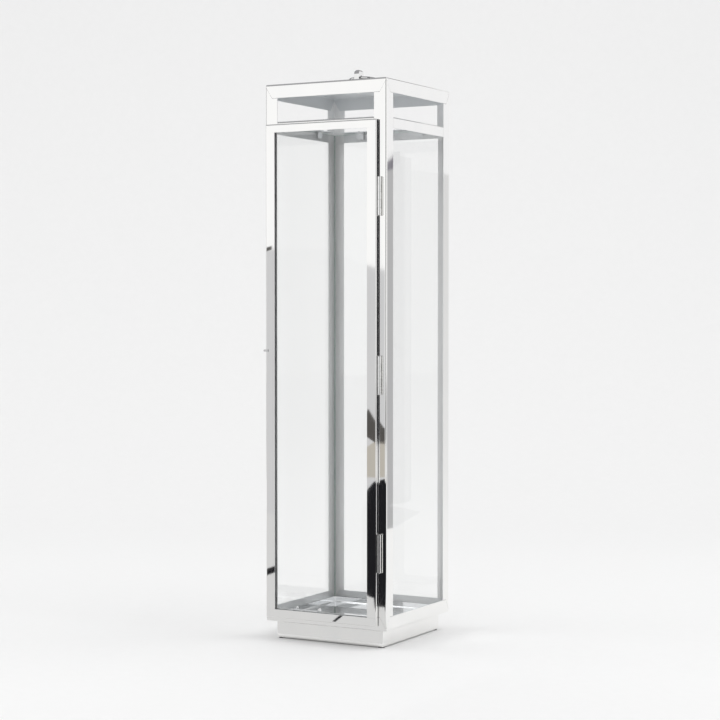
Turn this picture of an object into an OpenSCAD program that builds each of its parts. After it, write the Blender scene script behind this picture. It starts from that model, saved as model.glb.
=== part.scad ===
// Tall square candle lantern in polished sheet steel.
//
// A folded plinth carries an open frame: four angle posts, four bottom rails,
// four vent rails and a folded cap. Glass closes three sides, and the fourth
// has a glazed door that lies on the front of the frame on three butt hinges.
// Warm air leaves through the open band between the vent rails and the cap.
// A ring in an eye on the cap lifts or hangs the lantern.
//
// Millimetres, +Z up. The door faces -Y and its hinges are on the +X side.
// The origin is on the ground, under the middle of the whole lantern.

/* [Frame] */
// Width of the frame, side to side
body_w = 200; // [160:1:300]
// Depth of the frame, without the door
body_d = 200; // [160:1:300]
// Height of the frame, from the plinth to the top of the cap
frame_h = 784; // [500:1:1000]
// Thickness of the frame's sheet
sheet_t = 1; // [0.8:0.1:1.2]
// Outside radius of the frame's folds
fold_r = 2.5; // [2:0.1:3]
// Width of each flange of a corner post
flange_w = 20; // [17:1:26]
// Height of the cap's folded edge
fascia_h = 20; // [15:1:30]
// Height of the bottom rails
bottom_rail_h = 20; // [15:1:30]
// How far a bottom rail is folded inwards
bottom_return = 16; // [14:1:20]
// Height of the open band under the cap
vent_gap = 34.5; // [20:0.5:60]
// Height of the vent rails
vent_rail_h = 15.5; // [13:0.5:24]
// How far a vent rail is folded inwards
vent_return = 12; // [11:0.5:16]
// How far inboard the mitred end of a post reaches
mitre_run = 11; // [6:0.5:14]
// Width and depth of the fine line where two sheets are joined
seam = 0.35; // [0.2:0.05:0.5]

/* [Plinth and floor] */
// How far the plinth stands in from the frame
plinth_inset = 11; // [6:0.5:12]
// Height of the plinth's shell
plinth_h = 25; // [15:1:60]
// Width of the plinth's bottom lip
plinth_lip = 12; // [11:0.5:20]
// Thickness of a foot pad
foot_t = 1; // [0.6:0.1:3]
// Diameter of a foot pad
foot_d = 10; // [6:0.5:11]
// Height of the floor tray
tray_h = 9; // [6:0.5:14]
// Distance from the middle to a tray screw, side to side
tray_screw_x = 75; // [40:1:76]
// Distance from the middle to a tray screw, front to back
tray_screw_y = 14; // [10:1:60]

/* [Glass] */
// Thickness of every pane
glass_t = 3; // [2:0.1:3]
// Bedding between a pane and the sheet that it lies against
bed = 0.2; // [0.1:0.05:0.3]
// Distance between the two clips of a pane
clip_pitch = 100; // [40:1:110]

/* [Door] */
// Gap from the left edge of the frame to the door
door_gap_left = 3.5; // [3:0.1:5]
// Gap from the right edge of the frame to the door
door_gap_right = 13; // [11:0.1:14]
// Gap from the bottom of the frame to the door
door_gap_bottom = 7; // [4:0.5:10]
// Gap from the top of the vent rails to the door
door_gap_top = 4; // [3:0.5:8]
// Running gap between the back of the door and the frame
door_air = 1.2; // [1.1:0.05:1.6]
// Thickness of the door's sheet
door_sheet_t = 0.8; // [0.6:0.1:1]
// Outside radius of the door's folds
door_fold_r = 1.6; // [1.2:0.1:2]
// Width of the door's stiles
stile_w = 15; // [12:0.5:20]
// Width of the door's rails
rail_w = 12; // [10:0.5:20]
// Width of the door's frame at the back
back_leg_w = 11; // [10:0.5:12]
// Gap round the door's pane, inside its frame
pane_edge_gap = 1.8; // [1.6:0.1:3]
// Height of the pull and the catch above the bottom of the frame
catch_height = 397; // [200:1:450]

/* [Hinges] */
// Length of a hinge
hinge_len = 54; // [40:1:70]
// Thickness of a hinge leaf
leaf_t = 0.7; // [0.5:0.1:0.8]
// Radius of a hinge knuckle
knuckle_r = 2.5; // [2.2:0.1:2.8]
// Radius of a hinge pin
pin_r = 1.3; // [1:0.1:1.4]
// Distance from the bottom of the frame to the lower hinge's middle
hinge_low = 111; // [60:1:140]
// Distance from the top of the frame to the upper hinge's middle
hinge_top = 167; // [110:1:200]

/* [Ring and eye] */
// Mean radius of the ring
ring_r = 30; // [22:1:40]
// Radius of the ring's wire
wire_r = 2; // [1.5:0.1:2.2]
// Height of the ring's pivot above the cap
pivot_h = 15.5; // [12:0.5:20]
// Radius of the hole in the eye
eye_hole_r = 2.8; // [2.7:0.1:3.5]
// Width of the eye, front to back
eye_w = 14; // [12:0.5:18]
// Thickness of the eye, along the ring's pivot
eye_t = 8; // [6:0.5:9]
// Height of the eye above the cap
eye_h = 27; // [25:0.5:30]
// Radius of the eye's threaded shank
shank_r = 3; // [2:0.5:3]

/* [Hidden] */

$fn = 64;

// Small clearances, shared by the pieces that meet there
screw_clear = 0.2;
thread_clear = 0.05;
run_clear = 0.06;
fixed_clear = 0.02;
part_clear = 0.3;
cut = 1;

// Heights of the frame
z_frame = foot_t + plinth_h;
z_top = z_frame + frame_h;
z_fascia = z_top - fascia_h;
z_vent = z_fascia - vent_gap;
z_rail_top = z_frame + bottom_rail_h;

// Plinth
plinth_w = body_w - 2 * plinth_inset;
plinth_d = body_d - 2 * plinth_inset;

// Glazing
pane_top_gap = 1;
pane_corner_gap = 0.5;
pane_out = sheet_t + bed;
pane_in = pane_out + glass_t;
pane_z0 = z_frame + fold_r;
pane_z1 = z_vent - fold_r - pane_top_gap;
side_pane_end = fold_r;
back_pane_end = pane_in + pane_corner_gap;
pad_l = 12;
pad_pitch = 110;

// Clips over the panes
clip_t = 0.8;
clip_w = 12;
clip_drop = 10.5;
clip_y0 = pane_in + bed;
clip_edge_gap = 0.5;
clip_leg = vent_return - clip_y0 - clip_edge_gap;
clip_fold_r = 1.2;
clip_screw_off = 0.7;
clip_screw_y = clip_y0 + clip_leg / 2 + clip_screw_off;
clip_screw_r = 1.25;

// Floor tray and its screws
tray_side = pane_in + part_clear;
tray_z = z_frame + sheet_t;
tray_floor_z = tray_z + sheet_t;
tray_screw_r = 1.5;
tray_nut_t = 2.4;
tray_nut_across = 5.5;
tray_washer_r = 4;

// Door
pull_t = 0.8;
door_depth = 2 * door_sheet_t + glass_t + bed;
door_back_y = -body_d / 2 - door_air;
door_front_y = door_back_y - door_depth;
door_x0 = -body_w / 2 + door_gap_left;
door_x1 = body_w / 2 - door_gap_right;
door_z0 = z_frame + door_gap_bottom;
door_z1 = z_vent - door_gap_top;
door_w = door_x1 - door_x0;
door_h = door_z1 - door_z0;
door_mid_x = (door_x0 + door_x1) / 2;
door_mid_z = (door_z0 + door_z1) / 2;

// The door and its pull stand in front of the frame, so the frame is set back
// by half of that and the whole lantern is centred on the origin
set_back = (-door_front_y + pull_t - body_d / 2) / 2;

// Catch
catch_z = z_frame + catch_height;
magnet_r = 4;
cup_r = 5;
cup_depth = 4;
cup_floor = 1;
catch_x = -body_w / 2 + pane_in + part_clear + cup_r;
strike_t = 0.8;

// Hinges
knuckles = 5;
knuckle_gap = 0.3;
knuckle_l = (hinge_len - (knuckles - 1) * knuckle_gap) / knuckles;
hinge_x = door_x1 + leaf_t + part_clear + knuckle_r;
hinge_y = -body_d / 2 - leaf_t - part_clear - knuckle_r;
leaf_edge_gap = 1.5;
frame_leaf_w = hinge_x - (body_w / 2 - flange_w) - leaf_edge_gap;
leaf_web = 1.2;
rivet_r = 1.1;
rivet_head_r = 1.4;
rivet_head_t = 0.7;
frame_head_r = rivet_head_r + 0.6;
frame_rivet_off = 0.5;
rivet_pitch = 2 * (knuckle_l + knuckle_gap);
z_hinge_low = z_frame + hinge_low;
z_hinge_high = z_top - hinge_top;
z_hinge_mid = (z_hinge_low + z_hinge_high) / 2;
z_hinges = [z_hinge_high, z_hinge_mid, z_hinge_low];

// Ring and eye
z_pivot = z_top + pivot_h;
washer_t = 1.2;
washer_r = 12;
collar_t = 1.6;
collar_r = 6.5;
nut_t = 5;
nut_across = 10;
ring_lie = asin((pivot_h - wire_r - part_clear) / (2 * ring_r));

// ---- Helpers ------------------------------------------------------------

// Moves the frame's own centre line to its place behind the origin
module placed() {
    translate([0, set_back, 0])
        children();
}

// Length of side k: 0 front, 1 right, 2 back, 3 left
function side_l(k) = (k % 2 == 0) ? body_w : body_d;

// Puts children at corner k, with +X along side k and +Y into the lantern
module at_corner(k) {
    x = (k == 1 || k == 2) ? body_w / 2 : -body_w / 2;
    y = (k >= 2) ? body_d / 2 : -body_d / 2;
    translate([x, y, 0])
        rotate([0, 0, 90 * k])
            children();
}

// Draws a child whose 2D x and y run along Y and Z, over length l along X
module along_x(l) {
    rotate([90, 0, 90])
        linear_extrude(l)
            children();
}

// Draws a cylinder along Y, from y0 to y1
module rod_y(r, y0, y1) {
    translate([0, y0, 0])
        rotate([-90, 0, 0])
            cylinder(r = r, h = y1 - y0);
}

// Draws a cylinder along X, from x0 to x1
module rod_x(r, x0, x1) {
    translate([x0, 0, 0])
        rotate([0, 90, 0])
            cylinder(r = r, h = x1 - x0);
}

// Rectangle with four round corners
module round_rect(w, d, r) {
    square([w, d - 2 * r], center = true);
    square([w - 2 * r, d], center = true);
    for (sx = [-1, 1], sy = [-1, 1])
        translate([sx * (w / 2 - r), sy * (d / 2 - r)])
            circle(r);
}

// Rectangle standing on y = 0 with its two bottom corners round
module footed_rect(w, h, r) {
    translate([-w / 2, r])
        square([w, h - r]);
    translate([-w / 2 + r, 0])
        square([w - 2 * r, h]);
    for (sx = [-1, 1])
        translate([sx * (w / 2 - r), r])
            circle(r);
}

// Block standing on z = 0 with its upright and bottom edges round
module round_block(w, d, h, r) {
    intersection() {
        linear_extrude(h)
            round_rect(w, d, r);
        rotate([90, 0, 0])
            linear_extrude(d + 2 * cut, center = true)
                footed_rect(w, h, r);
        rotate([90, 0, 90])
            linear_extrude(w + 2 * cut, center = true)
                footed_rect(d, h, r);
    }
}

// Open sheet tray standing on z = 0
module folded_tray(w, d, h, t, r) {
    difference() {
        round_block(w, d, h, r);
        translate([0, 0, t])
            round_block(w - 2 * t, d - 2 * t, h, r - t);
    }
}

// Folded angle section with its outer corner at the origin
module angle_section(leg_x, leg_y, t, r) {
    difference() {
        union() {
            translate([r, 0])
                square([leg_x - r, t]);
            translate([0, r])
                square([t, leg_y - r]);
            intersection() {
                translate([r, r])
                    circle(r);
                square(r);
            }
        }
        translate([r, r])
            circle(r - t);
    }
}

// Outline of a post's flange, seen square on: x is the distance from the
// corner and y the height. drop takes a little off both mitred ends.
module flange_outline(drop) {
    top_slope = (fascia_h - fold_r) / mitre_run;
    low_slope = (bottom_rail_h - fold_r) / mitre_run;
    polygon([
        [-cut, z_frame + fold_r - low_slope * cut + drop],
        [mitre_run, z_rail_top + drop],
        [flange_w + cut, z_rail_top + drop],
        [flange_w + cut, z_fascia - drop],
        [mitre_run, z_fascia - drop],
        [-cut, z_top - fold_r + top_slope * cut - drop]
    ]);
}

// Everything that belongs to the post at a corner
module post_zone() {
    intersection() {
        translate([0, flange_w + cut, 0])
            rotate([90, 0, 0])
                linear_extrude(flange_w + 2 * cut)
                    flange_outline(0);
        translate([-cut, 0, 0])
            along_x(flange_w + 2 * cut)
                flange_outline(0);
    }
}

// Cuts the fine seam line at a post's mitred ends on the two outer faces
module post_seams() {
    translate([0, seam, 0])
        rotate([90, 0, 0])
            linear_extrude(seam + cut)
                seam_outline();
    translate([-cut, 0, 0])
        along_x(seam + cut)
            seam_outline();
}

// The part of a flange that lies within a seam's width of its two ends
module seam_outline() {
    difference() {
        translate([fold_r / 2, z_frame])
            square([flange_w, frame_h]);
        flange_outline(seam);
    }
}

// Hexagon nut standing on z = 0
module hex_nut(across, t, bore_r) {
    difference() {
        cylinder(r = across / 2 / cos(30), h = t, $fn = 6);
        translate([0, 0, -cut])
            cylinder(r = bore_r, h = t + 2 * cut);
    }
}

// Button head of a screw or rivet: a disc with a domed top, on z = 0
module button_head(r, t) {
    dome_r = (r * r + t * t) / (2 * t);
    intersection() {
        cylinder(r = r, h = t);
        translate([0, 0, t - dome_r])
            sphere(dome_r);
    }
}

// ---- Plinth and floor ---------------------------------------------------

// Puts children at the four tray screws
module at_tray_screws() {
    for (sx = [-1, 1], sy = [-1, 1])
        translate([sx * tray_screw_x, sy * tray_screw_y, 0])
            children();
}

// Shell that lifts the frame: closed on top, with a lip round its open bottom
module plinth() {
    color("gainsboro")
        placed()
            translate([0, 0, foot_t])
                difference() {
                    round_block(plinth_w, plinth_d, plinth_h, fold_r);
                    translate([0, 0, sheet_t])
                        round_block(plinth_w - 2 * sheet_t, plinth_d - 2 * sheet_t,
                                    plinth_h - 2 * sheet_t, fold_r - sheet_t);
                    translate([0, 0, -cut])
                        linear_extrude(sheet_t + 2 * cut)
                            square([plinth_w - 2 * plinth_lip, plinth_d - 2 * plinth_lip],
                                   center = true);
                    at_tray_screws()
                        cylinder(r = tray_screw_r + screw_clear, h = plinth_h + cut);
                }
}

// Thin pads under the corners of the plinth's lip
module foot_pads() {
    in = plinth_lip / 2 + sheet_t / 2;
    color("dimgray")
        placed()
            for (sx = [-1, 1], sy = [-1, 1])
                translate([sx * (plinth_w / 2 - in), sy * (plinth_d / 2 - in), 0])
                    cylinder(r = foot_d / 2, h = foot_t);
}

// Tray inside the frame, the floor that the candle stands on
module floor_tray() {
    color("silver")
        placed()
            translate([0, 0, tray_z])
                difference() {
                    folded_tray(body_w - 2 * tray_side, body_d - 2 * tray_side, tray_h,
                                sheet_t, fold_r);
                    at_tray_screws()
                        translate([0, 0, -cut])
                            cylinder(r = tray_screw_r + screw_clear, h = sheet_t + 2 * cut);
                }
}

// Screws that hold the tray and the plinth together
module tray_screws() {
    head_r = 2.8;
    head_t = 1.6;
    tail = 0.6;
    shank_l = tray_floor_z - (z_frame - sheet_t) + tray_nut_t + tail;
    color("whitesmoke")
        placed()
            at_tray_screws()
                translate([0, 0, tray_floor_z]) {
                    button_head(head_r, head_t);
                    translate([0, 0, -shank_l])
                        cylinder(r = tray_screw_r, h = shank_l);
                }
}

// Washers that fill the step between the tray and the top of the plinth
module tray_washers() {
    color("dimgray")
        placed()
            at_tray_screws()
                translate([0, 0, z_frame])
                    difference() {
                        cylinder(r = tray_washer_r, h = sheet_t);
                        translate([0, 0, -cut])
                            cylinder(r = tray_screw_r + screw_clear, h = sheet_t + 2 * cut);
                    }
}

// Nuts of the tray screws, under the plinth's top
module tray_nuts() {
    color("gray")
        placed()
            at_tray_screws()
                translate([0, 0, z_frame - sheet_t - tray_nut_t])
                    hex_nut(tray_nut_across, tray_nut_t, tray_screw_r + thread_clear);
}

// ---- Frame --------------------------------------------------------------

// Bottom rail of side k: a folded angle, mitred in plan to its neighbours
// and cut to the pointed ends of the two posts
module bottom_rail(k) {
    l = side_l(k);
    far = 2 * flange_w;
    color("silver")
        placed()
            intersection() {
                at_corner(k)
                    difference() {
                        intersection() {
                            translate([0, 0, z_frame])
                                along_x(l)
                                    angle_section(bottom_return, bottom_rail_h, sheet_t, fold_r);
                            linear_extrude(z_top)
                                polygon([[-cut, -cut], [l + cut, -cut], [l - far, far], [far, far]]);
                        }
                        post_zone();
                        translate([l, 0, 0])
                            rotate([0, 0, 90])
                                post_zone();
                    }
                linear_extrude(z_top)
                    round_rect(body_w, body_d, fold_r);
            }
}

// Corner post, standing at the origin: an angle with pointed ends
module post_blank() {
    difference() {
        intersection() {
            translate([0, 0, z_frame])
                linear_extrude(frame_h)
                    angle_section(flange_w, flange_w, sheet_t, fold_r);
            post_zone();
        }
        post_seams();
    }
}

// A post is two strips, welded edge to edge where the fold ends.
// The folded strip lies along side k and turns round the corner.
module post_folded_strip(k) {
    at_corner(k)
        intersection() {
            post_blank();
            translate([-cut, -cut, 0])
                cube([flange_w + 2 * cut, fold_r + cut, z_top + cut]);
        }
}

// The plain strip lies along the side before k
module post_plain_strip(k) {
    at_corner(k)
        intersection() {
            post_blank();
            translate([-cut, fold_r, 0])
                cube([flange_w, flange_w, z_top + cut]);
        }
}

// Folded strip of the front left post, drilled for the catch magnet
module post_front_left_front() {
    color("silver")
        placed()
            difference() {
                post_folded_strip(0);
                translate([catch_x, -body_d / 2, catch_z])
                    rod_y(magnet_r + screw_clear, -cut, sheet_t + cut);
            }
}

// Plain strip of the front right post, drilled for the hinge rivets
module post_front_right_front() {
    color("silver")
        placed()
            difference() {
                post_plain_strip(1);
                at_frame_rivets()
                    rod_y(rivet_r + screw_clear / 2, -cut, sheet_t + cut);
            }
}

// Folded strip of a post with no holes
module post_folded(k) {
    color("silver")
        placed()
            post_folded_strip(k);
}

// Plain strip of a post with no holes
module post_plain(k) {
    color("silver")
        placed()
            post_plain_strip(k);
}

// Places the screws of the two clips on side k, in that side's own axes
module at_clips(k) {
    for (s = [-1, 1])
        translate([side_l(k) / 2 + s * clip_pitch / 2, 0, 0])
            children();
}

// Vent rail of side k, between the posts: a folded angle with its fold on top
module vent_rail(k, drilled) {
    l = side_l(k) - 2 * flange_w;
    color("silver")
        placed()
            at_corner(k)
                difference() {
                    translate([flange_w, 0, z_vent])
                        along_x(l)
                            mirror([0, 1])
                                angle_section(vent_return, vent_rail_h, sheet_t, fold_r);
                    for (x = [flange_w - cut, flange_w + l - seam])
                        translate([x, -cut, z_vent - vent_rail_h - cut])
                            cube([seam + cut, seam + cut, vent_rail_h + 2 * cut]);
                    if (drilled)
                        at_clips(k)
                            translate([0, clip_screw_y, z_vent - sheet_t - cut])
                                cylinder(r = clip_screw_r + screw_clear / 2,
                                         h = sheet_t + 2 * cut);
                }
}

// Folded cap: a flat top with a fascia all round, cut to the posts' points
module top_cap() {
    color("silver")
        placed()
            difference() {
                translate([0, 0, z_top])
                    mirror([0, 0, 1])
                        folded_tray(body_w, body_d, fascia_h, sheet_t, fold_r);
                for (k = [0 : 3])
                    at_corner(k)
                        post_zone();
                translate([0, 0, z_top - sheet_t - cut])
                    cylinder(r = shank_r + screw_clear, h = sheet_t + 2 * cut);
            }
}

// ---- Fixed glass --------------------------------------------------------

// Pane of side k, with each end held back from the corner
module pane(k, end) {
    color("aliceblue", 0.35)
        placed()
            at_corner(k)
                translate([end, pane_out, pane_z0])
                    cube([side_l(k) - 2 * end, glass_t, pane_z1 - pane_z0]);
}

// Setting pads that the panes stand on, in the fold of the bottom rails
module glass_pads() {
    color("whitesmoke")
        placed()
            for (k = [1 : 3], s = [-1, 1])
                at_corner(k)
                    translate([side_l(k) / 2 + s * pad_pitch / 2 - pad_l / 2, fold_r, tray_z])
                        cube([pad_l, pane_in - fold_r, pane_z0 - tray_z]);
}

// Clips that hang from the vent rails and hold the tops of the panes
module glass_clips() {
    color("gainsboro")
        placed()
            for (k = [1 : 3])
                at_corner(k)
                    at_clips(k)
                        translate([-clip_w / 2, clip_y0, z_vent - sheet_t])
                            difference() {
                                along_x(clip_w)
                                    mirror([0, 1])
                                        angle_section(clip_leg, clip_drop, clip_t, clip_fold_r);
                                translate([clip_w / 2, clip_screw_y - clip_y0, -clip_t - cut])
                                    cylinder(r = clip_screw_r + screw_clear / 2,
                                             h = clip_t + 2 * cut);
                            }
}

// Screws that hold the clips under the vent rails
module clip_screws() {
    head_r = 2.2;
    head_t = 1.1;
    tail = 1.2;
    shank_l = sheet_t + clip_t + tail;
    color("whitesmoke")
        placed()
            for (k = [1 : 3])
                at_corner(k)
                    at_clips(k)
                        translate([0, clip_screw_y, z_vent]) {
                            button_head(head_r, head_t);
                            translate([0, 0, -shank_l])
                                cylinder(r = clip_screw_r, h = shank_l);
                        }
}

// ---- Door ---------------------------------------------------------------

// Whole door frame: a flat channel, open inwards, that holds the pane
module door_channel() {
    t = door_sheet_t;
    translate([door_mid_x, door_front_y, door_mid_z])
        rotate([-90, 0, 0])
            difference() {
                round_block(door_w, door_h, door_depth, door_fold_r);
                translate([0, 0, t])
                    linear_extrude(door_depth - 2 * t)
                        round_rect(door_w - 2 * t, door_h - 2 * t, door_fold_r - t);
                translate([0, 0, -cut])
                    linear_extrude(door_depth / 2 + cut)
                        square([door_w - 2 * stile_w, door_h - 2 * rail_w], center = true);
                translate([0, 0, door_depth / 2])
                    linear_extrude(door_depth / 2 + cut)
                        square([door_w - 2 * back_leg_w, door_h - 2 * back_leg_w],
                               center = true);
            }
}

// Band of space across the door between two heights
module door_band(z0, z1) {
    translate([door_x0 - cut, door_front_y - cut, z0])
        cube([door_w + 2 * cut, door_depth + 2 * cut, z1 - z0]);
}

// Rail of the door's frame, with its lower edge at z0
module door_rail(z0) {
    color("gainsboro")
        placed()
            intersection() {
                door_channel();
                door_band(z0, z0 + rail_w);
            }
}

// Stile on the left (side -1) or the right (side 1)
module door_stile(side) {
    z0 = door_z0 + rail_w;
    z1 = door_z1 - rail_w;
    x0 = side < 0 ? door_x0 - cut : door_x1 - stile_w;
    color("gainsboro")
        placed()
            difference() {
                intersection() {
                    door_channel();
                    translate([x0, door_front_y - cut, z0])
                        cube([stile_w + cut, door_depth + 2 * cut, z1 - z0]);
                }
                for (z = [z0 - cut, z1 - seam])
                    translate([door_x0 - cut, door_front_y - cut, z])
                        cube([door_w + 2 * cut, seam + cut, seam + cut]);
                if (side > 0)
                    at_door_rivets()
                        rod_x(rivet_r + screw_clear / 2, -door_sheet_t - cut, leaf_t + cut);
            }
}

// Pane held in the door's channel
module door_glass() {
    in = door_sheet_t + pane_edge_gap;
    color("aliceblue", 0.35)
        placed()
            translate([door_x0 + in, door_front_y + door_sheet_t + bed / 2, door_z0 + in])
                cube([door_w - 2 * in, glass_t, door_h - 2 * in]);
}

// Pull: a small tongue on the door's free edge, in line with the catch
module door_pull() {
    tongue_t = 3.2;
    pad = 2.6;
    reach = door_gap_left;
    hold = 1;
    depth = pull_t + door_fold_r + hold;
    color("gray")
        placed()
            translate([door_x0, door_front_y, catch_z]) {
                intersection() {
                    translate([-reach, -pull_t, -tongue_t / 2])
                        cube([reach, depth, tongue_t]);
                    translate([-reach + tongue_t / 2, 0, 0])
                        union() {
                            rod_y(tongue_t / 2, -pull_t, depth - pull_t);
                            translate([0, -pull_t, -tongue_t / 2])
                                cube([reach, depth, tongue_t]);
                        }
                }
                translate([0, -pull_t, -tongue_t / 2])
                    cube([door_fold_r + pad, pull_t, tongue_t]);
            }
}

// Steel disc on the back of the door that meets the magnet
module door_strike() {
    color("gray")
        placed()
            translate([catch_x, door_back_y, catch_z])
                rod_y(magnet_r, 0, strike_t);
}

// Cup behind the post's flange that holds the magnet
module catch_cup() {
    inner_y = -body_d / 2 + sheet_t;
    color("darkgray")
        placed()
            translate([catch_x, inner_y, catch_z])
                difference() {
                    rod_y(cup_r, 0, cup_depth);
                    rod_y(magnet_r + fixed_clear, -cut, cup_depth - cup_floor);
                }
}

// Magnet that pulls the strike through the hole in the post
module catch_magnet() {
    inner_y = -body_d / 2 + sheet_t;
    face_y = door_back_y + strike_t + part_clear;
    color("slategray")
        placed()
            translate([catch_x, 0, catch_z])
                rod_y(magnet_r, face_y, inner_y + cup_depth - cup_floor);
}

// ---- Hinges -------------------------------------------------------------

// Rivets of each hinge's frame leaf, on the front of the right post
module at_frame_rivets() {
    for (z = z_hinges, s = [-1, 1])
        translate([hinge_x - frame_leaf_w / 2 - frame_rivet_off, -body_d / 2,
                   z + s * rivet_pitch / 2])
            children();
}

// Rivets of each hinge's door leaf, on the side of the door
module at_door_rivets() {
    for (z = z_hinges, s = [-1, 1])
        translate([door_x1, (door_front_y + door_back_y) / 2, z + s * rivet_pitch / 2])
            children();
}

// Every second knuckle of a hinge, starting at first
module knuckle_set(first, bore_r) {
    for (i = [first : 2 : knuckles - 1])
        translate([0, 0, -hinge_len / 2 + i * (knuckle_l + knuckle_gap)])
            difference() {
                union() {
                    cylinder(r = knuckle_r, h = knuckle_l);
                    children();
                }
                translate([0, 0, -cut])
                    cylinder(r = bore_r, h = knuckle_l + 2 * cut);
            }
}

// Leaf on the post, with every second knuckle
module hinge_leaf_frame(z) {
    y0 = -body_d / 2 - leaf_t - hinge_y;
    color("gainsboro")
        placed()
            difference() {
                translate([hinge_x, hinge_y, z]) {
                    knuckle_set(0, pin_r + fixed_clear)
                        translate([-leaf_web / 2, 0, 0])
                            cube([leaf_web, y0 + leaf_t, knuckle_l]);
                    translate([-frame_leaf_w, y0, -hinge_len / 2])
                        cube([frame_leaf_w + leaf_web / 2, leaf_t, hinge_len]);
                }
                at_frame_rivets()
                    rod_y(rivet_r + screw_clear / 2, -leaf_t - cut, cut);
            }
}

// Leaf on the door's edge, with the knuckles between
module hinge_leaf_door(z) {
    x0 = door_x1 - hinge_x;
    leaf_w = door_depth - 2 * part_clear;
    color("gainsboro")
        placed()
            difference() {
                translate([hinge_x, hinge_y, z]) {
                    knuckle_set(1, pin_r + run_clear)
                        translate([x0, -leaf_web / 2, 0])
                            cube([-x0, leaf_web, knuckle_l]);
                    translate([x0, (door_front_y + door_back_y) / 2 - leaf_w / 2 - hinge_y,
                               -hinge_len / 2])
                        cube([leaf_t, leaf_w, hinge_len]);
                }
                at_door_rivets()
                    rod_x(rivet_r + screw_clear / 2, -cut, leaf_t + cut);
            }
}

// Pin with a domed head at each end
module hinge_pin(z) {
    head_over = 0.7;
    head_r = pin_r + head_over;
    head_t = 0.9;
    l = hinge_len + 2 * fixed_clear;
    color("whitesmoke")
        placed()
            translate([hinge_x, hinge_y, z]) {
                translate([0, 0, -l / 2])
                    cylinder(r = pin_r, h = l);
                translate([0, 0, l / 2])
                    button_head(head_r, head_t);
                translate([0, 0, -l / 2])
                    mirror([0, 0, 1])
                        button_head(head_r, head_t);
            }
}

// Rivets through the frame leaves, headed inside the post
module frame_rivets() {
    color("whitesmoke")
        placed()
            at_frame_rivets() {
                rod_y(rivet_r, -leaf_t, sheet_t);
                translate([0, sheet_t, 0])
                    rotate([-90, 0, 0])
                        button_head(frame_head_r, rivet_head_t);
            }
}

// Rivets through the door leaves, headed inside the door's channel
module door_rivets() {
    color("whitesmoke")
        placed()
            at_door_rivets() {
                rod_x(rivet_r, -door_sheet_t, leaf_t);
                translate([-door_sheet_t, 0, 0])
                    rotate([0, -90, 0])
                        button_head(rivet_head_r, rivet_head_t);
            }
}

// ---- Ring and eye -------------------------------------------------------

// Eye: a rounded lug on a collar, with a shank through the cap
module eye() {
    foot_z = washer_t + collar_t;
    tail = 1.5;
    shank_l = sheet_t + nut_t + tail;
    color("whitesmoke")
        placed()
            translate([0, 0, z_top])
                difference() {
                    union() {
                        intersection() {
                            translate([-eye_t / 2, 0, 0])
                                along_x(eye_t)
                                    eye_outline(eye_w, foot_z);
                            rotate([90, 0, 0])
                                linear_extrude(eye_w, center = true)
                                    eye_outline(eye_t, foot_z);
                        }
                        translate([0, 0, washer_t])
                            cylinder(r = collar_r, h = collar_t);
                        translate([0, 0, -shank_l])
                            cylinder(r = shank_r, h = shank_l + washer_t);
                    }
                    translate([0, 0, pivot_h])
                        rod_x(eye_hole_r, -eye_t, eye_t);
                }
}

// Upright outline with a half-round top
module eye_outline(w, z0) {
    translate([-w / 2, z0])
        square([w, eye_h - w / 2 - z0]);
    translate([0, eye_h - w / 2])
        circle(w / 2);
}

// Washer under the eye
module eye_washer() {
    color("gainsboro")
        placed()
            translate([0, 0, z_top])
                difference() {
                    cylinder(r = washer_r, h = washer_t);
                    translate([0, 0, -cut])
                        cylinder(r = shank_r + screw_clear, h = washer_t + 2 * cut);
                }
}

// Nut on the eye's shank, under the cap
module eye_nut() {
    color("gray")
        placed()
            translate([0, 0, z_top - sheet_t - nut_t])
                hex_nut(nut_across, nut_t, shank_r + thread_clear);
}

// Ring through the eye, lying back on the cap
module lift_ring() {
    color("whitesmoke")
        placed()
            translate([0, 0, z_pivot])
                rotate([-ring_lie, 0, 0])
                    translate([0, ring_r, 0])
                        rotate_extrude()
                            translate([ring_r, 0])
                                circle(wire_r);
}

// ---- Assembly -----------------------------------------------------------

plinth();
foot_pads();
floor_tray();
tray_screws();
tray_washers();
tray_nuts();
bottom_rail(0);  // bottom_rail_front
bottom_rail(1);  // bottom_rail_right
bottom_rail(2);  // bottom_rail_back
bottom_rail(3);  // bottom_rail_left
post_front_left_front();
post_plain(0);  // post_front_left_side
post_folded(1);  // post_front_right_side
post_front_right_front();
post_folded(2);  // post_back_right_back
post_plain(2);  // post_back_right_side
post_folded(3);  // post_back_left_side
post_plain(3);  // post_back_left_back
vent_rail(0, false);  // vent_rail_front
vent_rail(1, true);  // vent_rail_right
vent_rail(2, true);  // vent_rail_back
vent_rail(3, true);  // vent_rail_left
top_cap();
pane(1, side_pane_end);  // glass_right
pane(2, back_pane_end);  // glass_back
pane(3, side_pane_end);  // glass_left
glass_pads();
glass_clips();
clip_screws();
door_rail(door_z1 - rail_w);  // door_rail_top
door_rail(door_z0);  // door_rail_bottom
door_stile(-1);  // door_stile_left
door_stile(1);  // door_stile_right
door_glass();
door_pull();
door_strike();
catch_cup();
catch_magnet();
hinge_leaf_frame(z_hinge_high);  // hinge_leaf_frame_upper
hinge_leaf_frame(z_hinge_mid);  // hinge_leaf_frame_middle
hinge_leaf_frame(z_hinge_low);  // hinge_leaf_frame_lower
hinge_leaf_door(z_hinge_high);  // hinge_leaf_door_upper
hinge_leaf_door(z_hinge_mid);  // hinge_leaf_door_middle
hinge_leaf_door(z_hinge_low);  // hinge_leaf_door_lower
hinge_pin(z_hinge_high);  // hinge_pin_upper
hinge_pin(z_hinge_mid);  // hinge_pin_middle
hinge_pin(z_hinge_low);  // hinge_pin_lower
frame_rivets();
door_rivets();
eye();
eye_washer();
eye_nut();
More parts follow.
